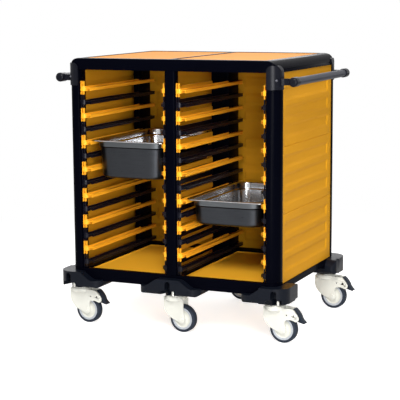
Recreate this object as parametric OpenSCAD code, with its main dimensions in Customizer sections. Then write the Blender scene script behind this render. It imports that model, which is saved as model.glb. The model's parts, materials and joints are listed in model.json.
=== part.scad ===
// Enclosed tray cart: two bays of tray slots side by side, closed at the sides, back and top, open at the
// front, on six swivel castors, with bumpers, two push handles and two food pans on the slides.
// Millimetres, +Z up, front faces -Y. The floor is z = 0.

/* [Pans and tray slots] */
// rim width of a full-size food pan
pan_w = 325; // [300:1:345]
// rim length of a full-size food pan
pan_l = 530; // [480:1:560]
// depth of the pan in the left bay
left_pan_depth = 150; // [100:5:200]
// depth of the pan in the right bay
right_pan_depth = 100; // [65:5:150]
// height from one tray slot to the next
slot_pitch = 52.8; // [50:0.1:58]
// how far a ledge reaches into the bay
ledge_w = 15; // [13:0.5:16]
// height of a ledge's outer face
ledge_h = 13; // [11:0.5:15]
// height of the side guide above a ledge
guide_h = 16; // [12:0.5:18]

/* [Frame] */
// overall height of the cart
body_h = 1057; // [1010:1:1100]
// width of a corner post seen from the front
post_w = 48.5; // [44:0.5:54]
// depth of a front corner post seen from the side
post_d = 57.5; // [50:0.5:64]
// width of the middle post
mid_post_w = 42; // [36:0.5:48]
// corner radius of the body seen from above
corner_r = 40; // [30:1:44]
// height of the top frame
ring_t = 45; // [40:1:49]
// radius of the top frame's left and right edges
brow_r = 50; // [49:1:58]
// height of the base frame
base_t = 47; // [44:1:54]
// wall of the pressed side and back panels
sheet_t = 5; // [4:0.5:7]
// depth of the bands pressed into the panels
band_deep = 3; // [1:0.25:3]

/* [Bumpers and handles] */
// how far the bumpers stand out at the left and right
bumper_out_x = 44.5; // [36:0.5:50]
// how far the bumpers stand out at the front and back
bumper_out_y = 37.5; // [30:0.5:44]
// thickness of the bumper under the base frame
pad_t = 35; // [30:1:40]
// outer diameter of a handle tube
handle_d = 30; // [26:0.5:32]
// distance of a handle's axis from the body's side
handle_out = 49.5; // [44:0.5:60]

/* [Castors] */
// tyre diameter
wheel_d = 108; // [100:1:116]
// tyre width
wheel_w = 30; // [26:0.5:32]
// distance of the wheel's axle behind the swivel axis
trail = 37; // [32:0.5:42]
// diameter of the fork's round head
fork_d = 82; // [76:1:86]
// angle that the castors are turned toward the front
castor_turn = 5; // [0:1:25]

/* [Hidden] */
$fn = 48;
fit = 0.06;              // radial clearance of a turning pin
air = 0.3;               // gap between pieces that move past each other
seat_gap = 0.2;          // gap round a piece that lies in a pocket
cart_x = -16;            // the cart's middle stands here, so the pedals and handles are centred on X = 0

// racks: plan lines of one bay, measured from the cart's middle
block_w = 17;            // a runner's end block, between its post and the slot
bay_w = pan_w + 9;       // clear width between the guides
mid_web = mid_post_w / 2 + block_w;
side_web = mid_web + bay_w;
bay_x = mid_web + bay_w / 2;
half_w = side_web + block_w + post_w;
front_room = 38.5;       // from the body's front to the pans
half_d = (pan_l + 145) / 2;
rear_post_d = post_d - 7.5;
rack_y0 = -half_d + 13.5;        // fronts of the end blocks
rail_y0 = rack_y0 + 20;          // where the guides start
upright_y0 = half_d - 187.5;     // front face of the rear uprights
upright_y1 = half_d - 75.5;
rack_y1 = half_d - 62.5;         // rear ends of the ledges

// heights
wheel_r = wheel_d / 2;
seat_z = wheel_d + 37;           // underside of the bumpers, where the castors sit
base_z = seat_z + pad_t;
base_top = base_z + base_t;
ring_z = body_h - ring_t;
first_z = ring_z - 72;           // top tray slot
levels = floor((first_z - slot_pitch / 2 - base_top + 0.1) / slot_pitch) + 1;
function slot_z(i) = first_z - i * slot_pitch;

// pans
pan_wall = 1.2;
rim_drop = 4;
left_pan_slot = 4;
right_pan_slot = 8;

// castors
swivel_x = half_w - 22.5;
swivel_y = half_d - 37.5;
head_z1 = seat_z - 2 - air;
head_z0 = head_z1 - 21.7;
cheek_t = 5;
cheek_in = wheel_w / 2 + 2.2;
stem_r = 6;
axle_r = 5;
pin_r = 4;
ks = wheel_r / 54;               // the castor's side view grows with its wheel
pivot = [57 * ks, 100.5 * ks];   // pedal pivot, from under the wheel's axle

// ---- finishes ----
dark = [0.03, 0.03, 0.05];
slate = [0.12, 0.13, 0.16];
yellow = [0.86, 0.6, 0.12];
ivory = [0.86, 0.85, 0.8];
grey = [0.2, 0.21, 0.25];
steel = [0.7, 0.7, 0.7];

// ---- outlines ----
function arc(c, r, a0, a1, n) = [for (i = [0:n]) let (a = a0 + (a1 - a0) * i / n)
    [c[0] + r[0] * cos(a), c[1] + r[1] * sin(a)]];
function steps(r) = max(3, round(r / 3));
// one corner of an outline: sx, sy say which way it points, and a zero radius gives the bare corner
function bend(x, y, sx, sy, r, a0) = r <= 0 ? [[x, y]] :
    arc([x - sx * r, y - sy * r], [r, r], a0, a0 + 90, steps(r));
// rectangle with its own radius at each corner, counter-clockwise from the low left one
function soft_box(x0, x1, y0, y1, r) = concat(bend(x0, y0, -1, -1, r[0], 180),
    bend(x1, y0, 1, -1, r[1], 270), bend(x1, y1, 1, 1, r[2], 0), bend(x0, y1, -1, 1, r[3], 90));

// ---- placing ----
module on_cart() { translate([cart_x, 0, 0]) children(); }
// draws its children at the corner that sx and sy name, from their drawing at the rear right
module at_corner(sx, sy) {
    on_cart() mirror([sx < 0 ? 1 : 0, 0, 0]) mirror([0, sy < 0 ? 1 : 0, 0]) children();
}
module on_side(sx) { on_cart() mirror([sx < 0 ? 1 : 0, 0, 0]) children(); }
// extrudes an outline drawn in X and Z along the cart's depth
module along_y(y0, y1) { translate([0, y1, 0]) rotate([90, 0, 0]) linear_extrude(y1 - y0) children(); }
// extrudes an outline drawn in Y and Z along the cart's width
module along_x(x0, x1) {
    translate([x0, 0, 0]) rotate([90, 0, 90]) linear_extrude(x1 - x0) children();
}
module slab(x0, x1, y0, y1, z0, z1) {
    translate([x0, y0, z0]) cube([x1 - x0, y1 - y0, z1 - z0]);
}
module rise(z0, z1) { translate([0, 0, z0]) linear_extrude(z1 - z0) children(); }

// ---- frame ----
module body_column(z0, z1, grow = 0) {
    r = corner_r + grow;
    rise(z0, z1) polygon(soft_box(-half_w - grow, half_w + grow, -half_d - grow, half_d + grow,
        [r, r, r, r]));
}

// outside shape of the top frame: rounded seen from above, from the front and from the side
module brow_shape(z0, z1, grow = 0) {
    r = brow_r + grow;
    e = 12 + grow;
    intersection() {
        body_column(z0, z1, grow);
        along_y(-half_d - grow - 1, half_d + grow + 1)
            polygon(soft_box(-half_w - grow, half_w + grow, z0 - 60, body_h + grow, [0, 0, r, r]));
        along_x(-half_w - grow - 1, half_w + grow + 1)
            polygon(soft_box(-half_d - grow, half_d + grow, z0 - 60, body_h + grow, [0, 0, e, e]));
    }
}

strip_w = 14;                    // bar between the two top panels
top_lip = 12;                    // ledge that a top panel lies on
panel_sink = 7;
top_x1 = half_w - brow_r - 4.5;
top_y1 = half_d - 21.5;
module top_frame() {
    color(dark) on_cart() difference() {
        brow_shape(ring_z, body_h);
        for (s = [-1, 1]) mirror([s < 0 ? 1 : 0, 0, 0]) {
            rise(body_h - panel_sink, body_h + 1)
                polygon(soft_box(strip_w / 2, top_x1, -top_y1, top_y1, [4, 4, 4, 4]));
            rise(ring_z - 1, body_h)
                polygon(soft_box(strip_w / 2 + top_lip, top_x1 - top_lip, -top_y1 + top_lip,
                    top_y1 - top_lip, [4, 4, 4, 4]));
        }
    }
}

module top_panel(sx) {
    g = seat_gap;
    color(yellow) on_side(sx) rise(body_h - panel_sink, body_h - 2)
        polygon(soft_box(strip_w / 2 + g, top_x1 - g, -top_y1 + g, top_y1 - g, [4, 4, 4, 4]));
}
module top_panel_left() top_panel(-1);
module top_panel_right() top_panel(1);

floor_sink = 17;                 // a floor panel lies this far below the base frame's top
floor_lip = 12;
floor_x1 = side_web - 2;
floor_y0 = -half_d + 20.5;
floor_y1 = half_d - 92.5;
side_foot = 9;                   // the side panels reach this far below the base frame's top
side_lift = 13;
panel_out = half_w - 3.5;        // outer face of the side panels
module base_frame() {
    color(dark) on_cart() difference() {
        body_column(base_z, base_top);
        for (s = [-1, 1]) mirror([s < 0 ? 1 : 0, 0, 0]) {
            slab(mid_web, floor_x1, floor_y0, floor_y1, base_top - floor_sink, base_top + 1);
            slab(mid_web + floor_lip, floor_x1 - floor_lip, floor_y0 + floor_lip,
                floor_y1 - floor_lip, base_z - 1, base_top);
            // pocket of the side panel's lower edge, and the beam's raised underside between the castors
            slab(panel_out - sheet_t, half_w + 1, -half_d + post_d, half_d - rear_post_d,
                base_top - side_foot, base_top + 1);
            slab(floor_x1 + 4, half_w + 1, -lobe_y0, lobe_y0, base_z - 1, base_z + side_lift);
        }
    }
}

module floor_panel(sx) {
    g = seat_gap;
    z0 = base_top - floor_sink;
    color(yellow) on_side(sx) difference() {
        slab(mid_web + g, floor_x1 - g, floor_y0 + g, floor_y1 - g, z0, z0 + 9);
        // the rim stands up round a flat floor
        slab(mid_web + g + 4, floor_x1 - g - 4, floor_y0 + g + 4, floor_y1 - g - 4, z0 + 5, z0 + 10);
    }
}
module floor_panel_left() floor_panel(-1);
module floor_panel_right() floor_panel(1);

module front_corner_post(sx) {
    color(dark) on_side(sx) rise(base_top, ring_z) intersection() {
        polygon(soft_box(half_w - 200, half_w, -half_d, -half_d + 200, [0, corner_r, 0, 0]));
        polygon(soft_box(half_w - post_w, half_w, -half_d, -half_d + post_d, [5, 0, 3, 3]));
    }
}
module post_front_left() front_corner_post(-1);
module post_front_right() front_corner_post(1);
module post_front_middle() {
    color(dark) on_cart() rise(base_top, ring_z)
        polygon(soft_box(-mid_post_w / 2, mid_post_w / 2, -half_d, -half_d + 37.5, [6, 6, 2, 2]));
}

// rear corner post with the upright that carries the runners, and a rounded gusset under the top frame
gusset = [80, 45];
module rear_corner_post(sx) {
    flange_x1 = side_web + 24;
    color(dark) on_side(sx) union() {
        rise(base_top, ring_z) union() {
            intersection() {
                polygon(soft_box(half_w - 200, half_w, half_d - 200, half_d, [0, 0, corner_r, 0]));
                polygon(soft_box(half_w - post_w, half_w, half_d - rear_post_d, half_d, [0, 0, 0, 5]));
            }
            polygon(soft_box(side_web, flange_x1, upright_y0, upright_y1, [3, 3, 3, 3]));
            polygon(soft_box(half_w - post_w, flange_x1, upright_y1 - 8, half_d - 30, [0, 0, 0, 0]));
        }
        along_x(side_web + 2, side_web + 16)
            polygon(concat([[upright_y0 + 6, ring_z], [upright_y0 + 6, ring_z - gusset[1]]],
                arc([upright_y0 - gusset[0], ring_z - gusset[1]], gusset, 0, 90, 12)));
    }
}
module post_rear_left() rear_corner_post(-1);
module post_rear_right() rear_corner_post(1);
module post_rear_middle() {
    color(dark) on_cart() rise(base_top, ring_z) union() {
        polygon(soft_box(-mid_web, mid_web, upright_y0, upright_y1, [3, 3, 3, 3]));
        polygon(soft_box(-mid_post_w / 2, mid_post_w / 2, upright_y1 - 8, half_d, [0, 0, 6, 6]));
    }
}

// ---- pressed panels ----
tiles = 3;                       // groups of bands up the panel
bands = 3;                       // bands in a group
pad_h = 30;                      // flat strip between two bands
end_pad = 35;                    // and at the ends of a group
groove_h = 4.5;                  // thin groove between two groups
tile_h = (ring_z - base_top - 21.5) / tiles;
band_h = (tile_h - groove_h - 2 * end_pad - (bands - 1) * pad_h) / bands;
// draws a panel along +X with its outer face at y = 0 and its inner face at y = sheet_t
module pressed_sheet(length, near, far, foot) {
    slope = band_h / 4;
    difference() {
        union() {
            slab(0, length, 0, sheet_t, base_top - foot, ring_z);
            for (k = [0:tiles - 1], j = [0:bands - 1])
                band(near + 3, length - far - 3, k, j, sheet_t - 0.5, sheet_t + 3, slope, -1.5);
        }
        for (k = [0:tiles - 1], j = [0:bands - 1])
            band(near, length - far, k, j, -1, band_deep, -slope, slope / (band_deep + 1));
        for (k = [1:tiles - 1]) slab(near, length - far, -1, 1.5, base_top + 1 + k * tile_h - groove_h,
            base_top + 1 + k * tile_h);
    }
}
// one band, a bar with sloping sides from depth d0 to d1; grow narrows or widens its mouth
module band(x0, x1, k, j, d0, d1, slope, grow) {
    z0 = base_top + 1 + k * tile_h + end_pad + j * (pad_h + band_h) - grow;
    z1 = z0 + band_h + 2 * grow;
    s = slope > 0 ? slope : 0;
    t = slope < 0 ? -slope : 0;
    translate([x0, 0, 0]) rotate([90, 0, 90]) linear_extrude(x1 - x0)
        polygon([[d0, z0], [d1, z0 + s + t], [d1, z1 - s - t], [d0, z1]]);
}
module side_panel(sx) {
    y0 = -half_d + post_d;
    color(yellow) on_side(sx) translate([panel_out, y0, 0]) rotate([0, 0, 90])
        pressed_sheet(2 * half_d - post_d - rear_post_d, 30, 40, side_foot);
}
module side_panel_left() side_panel(-1);
module side_panel_right() side_panel(1);
module back_panel(sx) {
    x1 = half_w - post_w;
    color(yellow) on_side(sx) translate([x1, half_d - 39.5, 0]) rotate([0, 0, 180])
        pressed_sheet(x1 - mid_post_w / 2, 30, 30, 0);
}
module back_panel_left() back_panel(-1);
module back_panel_right() back_panel(1);

// ---- runners ----
// side view of a runner from the front: the slot is at +X of the guide's face, the ledge's top is z = 0
rail_t = 3;
channel_d = 16;
groove = 1.6;
function ledge_outline() = [[0, -ledge_h], [2.5, -ledge_h], [2.5, -rail_t], [ledge_w - 3, -rail_t],
    [ledge_w - 3, -ledge_h], [ledge_w, -ledge_h], [ledge_w, -ledge_h + 3],
    [ledge_w - groove, -ledge_h + 4.2], [ledge_w - groove, -4.2], [ledge_w, -3], [ledge_w, -0.8],
    [ledge_w - 0.8, 0], [0, 0]];
function guide_outline() = [[0, -ledge_h], [0, guide_h - 1], [-1, guide_h], [-channel_d, guide_h],
    [-channel_d, guide_h - rail_t], [-rail_t, guide_h - rail_t], [-rail_t, -ledge_h + rail_t],
    [-channel_d, -ledge_h + rail_t], [-channel_d, -ledge_h]];
module runner() {
    ear = slot_pitch / 2 - 0.2;
    difference() {
        union() {
            along_y(rack_y0, rack_y1) polygon(ledge_outline());
            along_y(rail_y0 - 1, upright_y0) polygon(guide_outline());
            // end block: a bar between the post and the slot, with two upright ears
            slab(-block_w, 0, rack_y0, rail_y0, -13.5, 13.5);
            for (x = [-block_w, -3]) slab(x, x + 3, rack_y0, rail_y0, -ear, ear);
        }
        // lead-in: the guide rises from the ledge toward the back
        along_x(-channel_d - 2, 1)
            polygon([[rail_y0 + 0.5, 13.6], [rail_y0 + 0.5, 3], [rail_y0 + 30, guide_h + 0.01],
                [rail_y0 + 30, guide_h + 1], [rail_y0 + 0.5, guide_h + 1]]);
        // soft front corners of the ears and the ledge
        for (s = [-1, 1]) along_x(-block_w - 1, ledge_w + 1)
            polygon([[rack_y0 - 1, s * (ear - 6)], [rack_y0 + 5, s * (ear + 1)],
                [rack_y0 - 1, s * (ear + 1)]]);
        rise(-ledge_h - 1, 1) polygon([[ledge_w - 6, rack_y0 - 1], [ledge_w + 1, rack_y0 - 1],
            [ledge_w + 1, rack_y0 + 7]]);
    }
}
module rack(x, into, first) {
    for (i = [first:2:levels - 1])
        translate([x, 0, slot_z(i)]) mirror([into < 0 ? 1 : 0, 0, 0]) runner();
}
module runners_left_yellow() { color(yellow) on_cart() rack(-side_web, 1, 0); }
module runners_left_black() { color(dark) on_cart() rack(-side_web, 1, 1); }
module runners_middle_yellow() {
    color(yellow) on_cart() { rack(-mid_web, -1, 0); rack(mid_web, 1, 0); }
}
module runners_middle_black() {
    color(dark) on_cart() { rack(-mid_web, -1, 1); rack(mid_web, 1, 1); }
}
module runners_right_yellow() { color(yellow) on_cart() rack(side_web, -1, 0); }
module runners_right_black() { color(dark) on_cart() rack(side_web, -1, 1); }

// ---- bumpers ----
lobe_x0 = half_w - 145;          // where a corner bumper ends along the front
lobe_y0 = half_d - 122.5;        // and along the side
mid_lobe = 130;                  // half length of a middle bumper
lobe_r = 45;                     // the lobes' ends seen from above
bump_in = half_d - 75.5;         // inner edge under the base frame
bump_x1 = half_w + bumper_out_x;
bump_y1 = half_d + bumper_out_y;
bump_top = base_z + 36;
tip_top = base_z + 4;            // the lobes sweep down to this height
belly_z = seat_z + 11;           // underside of the lobes
boss_r = 38;                     // round seat of the castor, which comes down from the underside
notch_w = 22;
arch_h = 28;
stub_in = 15.5;                  // the castor's white stub stands this far behind the body's front
// height profile of a lobe with its tip at x0: round below the tip, a belly out to xe, and a top that
// sweeps down in an S between s1 and s0
function lobe_side(x0, s0, s1, xe) = concat(
    arc([x0 + 18, belly_z + 18], [18, 18], 180, 270, 6), [[xe, belly_z], [xe, bump_top]],
    [for (i = [0:12]) let (t = i / 12) [s1 + (s0 - s1) * t, bump_top - (bump_top - tip_top) * t * t * (3 - 2 * t)]],
    arc([x0 + 8, tip_top - 8], [8, 8], 90, 180, 3));
// soft upper and lower edges of the front skirt
module skirt_edge() { polygon(soft_box(bump_in - 1, bump_y1, belly_z, bump_top, [0, 9, 10, 0])); }
module bumper_front_leg() {
    intersection() {
        rise(belly_z, bump_top)
            polygon(soft_box(lobe_x0, bump_x1, bump_in, bump_y1, [0, 0, 60, lobe_r]));
        along_y(bump_in - 1, bump_y1 + 1)
            polygon(lobe_side(lobe_x0, lobe_x0 + 35, lobe_x0 + 101, bump_x1 + 1));
        along_x(lobe_x0 - 1, bump_x1 + 1) skirt_edge();
    }
}
module bumper_side_leg() {
    intersection() {
        rise(belly_z, bump_top)
            polygon(soft_box(half_w - 62.5, bump_x1, lobe_y0, bump_y1, [0, 26, 60, 0]));
        along_x(half_w - 70, bump_x1 + 1) polygon(concat(
            [[bump_y1 + 1, belly_z], [bump_y1 + 1, bump_top]],
            arc([lobe_y0 + 36, bump_top - 36], [36, 36], 90, 180, 8),
            arc([lobe_y0 + 20, belly_z + 20], [20, 20], 180, 270, 6)));
        along_y(lobe_y0 - 1, bump_y1 + 1)
            polygon(soft_box(half_w - 70, bump_x1, belly_z, bump_top, [0, 9, 10, 0]));
    }
}
module castor_boss(x) { translate([x, swivel_y, seat_z]) cylinder(r = boss_r, h = belly_z - seat_z + 4); }
// narrow notch in the skirt over an arch that opens toward the front round the castor's stub
module bumper_notch(x) {
    back = half_d - stub_in - 10;
    along_y(half_d + 4, bump_y1 + 1)
        polygon(soft_box(x - notch_w / 2, x + notch_w / 2, seat_z - 1, bump_top - 8, [0, 0, 9, 9]));
    intersection() {
        rise(seat_z - 1, seat_z + arch_h) polygon([[x - notch_w / 2, back], [x + notch_w / 2, back],
            [x + 34, bump_y1 + 1], [x - 34, bump_y1 + 1]]);
        along_y(back, bump_y1 + 1)
            polygon(soft_box(x - 34, x + 34, seat_z - 1, seat_z + arch_h, [0, 0, 12, 12]));
    }
}
notch_x = half_w - 3.5;
module corner_bumper(sx, sy) {
    color(slate) at_corner(sx, sy) difference() {
        union() { bumper_front_leg(); bumper_side_leg(); castor_boss(swivel_x); }
        body_column(base_z, bump_top + 1);
        bumper_notch(notch_x);
    }
}
module middle_bumper(sy) {
    color(slate) at_corner(1, sy) difference() {
        union() {
            intersection() {
                rise(belly_z, bump_top)
                    polygon(soft_box(-mid_lobe, mid_lobe, bump_in, bump_y1, [0, 0, lobe_r, lobe_r]));
                along_y(bump_in - 1, bump_y1 + 1) for (s = [0, 1]) mirror([s, 0])
                    polygon(lobe_side(-mid_lobe, -mid_lobe + 25, -mid_lobe + 91, 10));
                along_x(-mid_lobe - 1, mid_lobe + 1) skirt_edge();
            }
            castor_boss(0);
        }
        body_column(base_z, bump_top + 1);
        bumper_notch(0);
    }
}
module bumper_front_left() corner_bumper(-1, -1);
module bumper_front_right() corner_bumper(1, -1);
module bumper_rear_left() corner_bumper(-1, 1);
module bumper_rear_right() corner_bumper(1, 1);
module bumper_front_middle() middle_bumper(-1);
module bumper_rear_middle() middle_bumper(1);

// ---- handles ----
handle_x = half_w + handle_out;
handle_drop = 33;                // the tube's axis below the top frame's underside
handle_z = ring_z - handle_drop;
handle_inset = 32.8;             // the tube's ends behind the body's front and back
handle_y = half_d - handle_inset;
collar_t = 4;
collar_z0 = ring_z - 62;
collar_z1 = ring_z + 26;
module handle_tube(sx) {
    color(grey) on_side(sx) translate([handle_x, handle_y, handle_z]) rotate([90, 0, 0]) difference() {
        cylinder(r = handle_d / 2, h = 2 * handle_y);
        translate([0, 0, -1]) cylinder(r = handle_d / 2 - 2, h = 2 * handle_y + 2);
    }
}
module handle_tube_left() handle_tube(-1);
module handle_tube_right() handle_tube(1);

// the collar wraps the post and the top frame's corner; a short neck carries the socket of the tube
module handle_bracket(sx, sy) {
    r = handle_d / 2 + 3;
    y0 = handle_y - 30.7;
    y1 = handle_y + 14.3;
    color(dark) at_corner(sx, sy) difference() {
        union() {
            intersection() {
                brow_shape(collar_z0, collar_z1, collar_t);
                along_y(half_d - 60, half_d + 20)
                    polygon(soft_box(half_w - post_w + 3, half_w + 20, collar_z0, collar_z1, [6, 0, 0, 20]));
                along_x(half_w - 80, half_w + 20)
                    polygon(soft_box(half_d - post_d + 3, half_d + 20, collar_z0, collar_z1, [6, 0, 0, 20]));
            }
            rise(handle_z - 12, handle_z + 12) polygon([[half_w - 6, half_d - 53], [half_w + 12, half_d - 49],
                [handle_x - 10, half_d - 49], [handle_x - 10, half_d - 32], [half_w + 12, half_d - 32],
                [half_w - 6, half_d - 26]]);
            translate([handle_x, y0, handle_z]) rotate([-90, 0, 0]) rotate_extrude()
                polygon(concat([[0, 0], [r - 1.5, 0], [r, 1.5]],
                    arc([r - 9, y1 - y0 - 9], [9, 9], 0, 90, 6), [[0, y1 - y0]]));
        }
        body_column(collar_z0 - 1, ring_z + 0.01);
        brow_shape(ring_z, body_h);
        translate([handle_x, y0 - 1, handle_z]) rotate([-90, 0, 0])
            cylinder(r = handle_d / 2 + fit, h = handle_y - y0 + 1);
    }
}
module handle_bracket_front_left() handle_bracket(-1, -1);
module handle_bracket_front_right() handle_bracket(1, -1);
module handle_bracket_rear_left() handle_bracket(-1, 1);
module handle_bracket_rear_right() handle_bracket(1, 1);

// one button-head screw at each collar, on the diagonal of the corner
module handle_screws() {
    color(steel) for (sx = [-1, 1], sy = [-1, 1]) at_corner(sx, sy)
        translate([half_w - corner_r, half_d - corner_r, ring_z - 28]) rotate([0, 0, 45])
            translate([corner_r + collar_t, 0, 0]) rotate([0, 90, 0]) difference() {
                rotate_extrude() polygon([[0, 0], [4.5, 0], [4.5, 1.2], [3, 2.6], [0, 2.6]]);
                translate([0, 0, 1.2]) cylinder(r = 1.8, h = 2, $fn = 6);
            }
}

// ---- castors ----
// a castor's own frame: the swivel axis is Z, the wheel trails toward +X, the floor is z = 0
module at_castor(cx, cy) {
    on_cart() translate([cx * swivel_x, cy * swivel_y, 0]) rotate([0, 0, -castor_turn]) children();
}
// extrudes a side view drawn in X (from the axle) and Z to the thickness between t0 and t1
module across(t0, t1) { translate([trail, t1, 0]) rotate([90, 0, 0]) linear_extrude(t1 - t0) children(); }
function sv(x, z) = [x * ks, z * ks];
module fork_side(arm) {
    left = -trail - fork_d / 2;
    lower = [[left, head_z1 - 6], [left, 101 * ks], sv(-73, 84), sv(-62, 69), sv(-51, 58), sv(-22, 46),
        sv(-8, 40.2), sv(15.6, 57)];
    reach = arm ? [sv(11, 76), sv(13, 85), sv(17, 91.5), sv(38, 94), sv(52, 90), pivot, sv(68, 105),
        sv(63, 114), sv(56, 122.5), sv(48, 130), sv(40, 135)] : [sv(11, 78), sv(9, 88), sv(9, 128)];
    polygon(concat(lower, reach, [[arm ? 8 : 0, head_z1 - 6]]));
    translate([0, wheel_r]) circle(r = 16);
    if (arm) translate(pivot) circle(r = 12);
}
module fork(cx, cy, arm) {
    r = fork_d / 2;
    color(ivory) at_castor(cx, cy) difference() {
        union() {
            rotate_extrude() polygon([[0, head_z0], [r - 7, head_z0], [r, head_z0 + 5], [r, head_z1 - 6],
                [r - 2, head_z1 - 2], [r - 6, head_z1], [0, head_z1]]);
            for (s = [0, 1]) mirror([0, s, 0]) {
                across(cheek_in, cheek_in + cheek_t) fork_side(arm);
                translate([trail, cheek_in + cheek_t - 0.5, wheel_r]) rotate([-90, 0, 0])
                    cylinder(r = 8.5, h = 4.5, $fn = 6);
            }
            translate([trail, cheek_in + 1, wheel_r]) rotate([90, 0, 0])
                cylinder(r = axle_r, h = 2 * cheek_in + 2);
        }
        translate([0, 0, head_z0 - 1]) cylinder(r = stem_r + fit, h = 40);
        if (arm) {
            across(-60, 60) translate(pivot) circle(r = pin_r + fit);
            across(-60, 60) translate(sv(19, 110)) circle(r = 3);
        }
    }
}
module fork_front_left() fork(-1, -1, true);
module fork_front_middle() fork(0, -1, false);
module fork_front_right() fork(1, -1, true);
module fork_rear_left() fork(-1, 1, true);
module fork_rear_middle() fork(0, 1, false);
module fork_rear_right() fork(1, 1, true);

// a fixed stem per castor: a washer under the bumper, a shaft through the fork's head with its nut, and
// the stub that shows in the bumper's notch
module castor_stems() {
    color(ivory) for (cx = [-1, 0, 1], cy = [-1, 1]) union() {
        at_castor(cx, cy) union() {
            translate([0, 0, seat_z - 2]) cylinder(r = boss_r - 2, h = 2);
            translate([0, 0, head_z0 - 8]) cylinder(r = stem_r, h = seat_z - head_z0 + 7);
            translate([0, 0, head_z0 - air - 7]) cylinder(r = 10, h = 7, $fn = 6);
        }
        at_corner(cx, cy) translate([cx == 0 ? 0 : notch_x, half_d - stub_in, seat_z])
            rotate_extrude() polygon([[0, -1], [7, -1], [7, 15], [5, 18], [0, 18]]);
    }
}

// spins its half section (radius, distance from the wheel's middle) about the axle
module wheel_turned(cx, cy) {
    at_castor(cx, cy) translate([trail, 0, wheel_r]) rotate([90, 0, 0]) rotate_extrude($fn = 72) children();
}
rim_r = wheel_r - 10.5;
module hub(cx, cy) {
    b = cheek_in - 0.6;
    h = wheel_w / 2 - 3;
    color(ivory) wheel_turned(cx, cy) difference() {
        polygon([[axle_r + fit / 2, -b], [11, -b], [12.5, -b + 2], [13, -h + 4], [30, -h + 6], [34, -h + 1],
            [rim_r, -h], [rim_r, h], [34, h - 1], [30, h - 6], [13, h - 4], [12.5, b - 2], [11, b],
            [axle_r + fit / 2, b]]);
    }
}
module hub_front_left() hub(-1, -1);
module hub_front_middle() hub(0, -1);
module hub_front_right() hub(1, -1);
module hub_rear_left() hub(-1, 1);
module hub_rear_middle() hub(0, 1);
module hub_rear_right() hub(1, 1);

module tyre(cx, cy) {
    w = wheel_w / 2;
    color(grey) wheel_turned(cx, cy) polygon([[rim_r, -w], [wheel_r - 4, -w], [wheel_r - 1, -w + 3],
        [wheel_r, -w + 7], [wheel_r, w - 7], [wheel_r - 1, w - 3], [wheel_r - 4, w], [rim_r, w]]);
}
module tyre_front_left() tyre(-1, -1);
module tyre_front_middle() tyre(0, -1);
module tyre_front_right() tyre(1, -1);
module tyre_rear_left() tyre(-1, 1);
module tyre_rear_middle() tyre(0, 1);
module tyre_rear_right() tyre(1, 1);

// brake pedal: a plate outside the fork's arms, a link to its pin, and a shoe that faces the tyre
shoe_gap = 3;
module pedal(cx, cy) {
    half = cheek_in - 0.6;
    d = [57, 46.5] / norm([57, 46.5]);
    p = [-d[1], d[0]];
    near = [0, wheel_r] + d * (wheel_r + shoe_gap);
    far = [0, wheel_r] + d * (wheel_r + shoe_gap + 12);
    color(grey) at_castor(cx, cy) union() {
        across(-half, half) union() {
            polygon([sv(57, 137), sv(52, 137), sv(50, 132), sv(81, 74), sv(86, 74), sv(89, 78)]);
            polygon([pivot + [-2, 7], sv(62, 121), sv(80, 88), pivot + [4, -8]]);
            polygon([near + p * 9, near - p * 9, far - p * 9, far + p * 9]);
            translate(pivot) circle(r = 9);
        }
        across(-cheek_in - cheek_t, cheek_in + cheek_t) translate(pivot) circle(r = pin_r);
    }
}
module pedal_front_left() pedal(-1, -1);
module pedal_front_right() pedal(1, -1);
module pedal_rear_left() pedal(-1, 1);
module pedal_rear_right() pedal(1, 1);

// ---- pans ----
// one level of the pan's skin: a rounded rectangle at height z, inset from the rim's edge
function skin(inset, z, r, wide, long) = [for (p = soft_ring(wide / 2 - inset, long / 2 - inset, r))
    [p[0], p[1], z]];
function soft_ring(hx, hy, r) = [for (q = [0:3], i = [0:8]) let (a = q * 90 + i * 11.25,
    cx = (q == 0 || q == 3 ? 1 : -1) * (hx - r), cy = (q < 2 ? 1 : -1) * (hy - r))
    [cx + r * cos(a), cy + r * sin(a)]];
// levels from the inner floor up the inside, round the rim and down the outside
function pan_levels(depth) = let (t = pan_wall, b = 12.5, step = 28, s = 1.8, low = depth * 0.108)
    [[b + low + 14 + t, -depth + t, 38], [b + low + 4.5 + t, -depth + 4 + t, 42],
     [b + low + t, -depth + 14 + t, 46], [b + s + 1 + t, -step - 3, 48], [b + 0.6 + t, -step + 2, 50],
     [b + t, -4, 50], [b - 2, 0, 52], [1.5, 0, 24], [0, -1.5, 25], [0, -rim_drop, 25],
     [t, -rim_drop, 24], [t, -t - 0.6, 24], [b - 3, -t - 0.2, 52], [b, -5, 50], [b + 0.6, -step + 1, 50],
     [b + s + 1, -step - 4, 48], [b + low, -depth + 14, 46], [b + low + 4.5, -depth + 4, 42],
     [b + low + 14, -depth, 38]];
module pan(sx, slot, depth) {
    lv = pan_levels(depth);
    n = 36;
    m = len(lv);
    pts = [for (l = lv) for (p = skin(l[0], l[1], l[2], pan_w, pan_l)) p];
    walls = [for (k = [0:m - 2], i = [0:n - 1]) for (f = [0, 1]) let (j = (i + 1) % n)
        f == 0 ? [k * n + i, (k + 1) * n + i, (k + 1) * n + j] : [k * n + i, (k + 1) * n + j, k * n + j]];
    caps = [[for (i = [0:n - 1]) i], [for (i = [n - 1:-1:0]) (m - 1) * n + i]];
    color(steel) on_cart() translate([sx * bay_x, -half_d + front_room + pan_l / 2,
        slot_z(slot) + rim_drop + air]) polyhedron(points = pts, faces = concat(walls, caps));
}
module pan_left() pan(-1, left_pan_slot, left_pan_depth);
module pan_right() pan(1, right_pan_slot, right_pan_depth);

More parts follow.
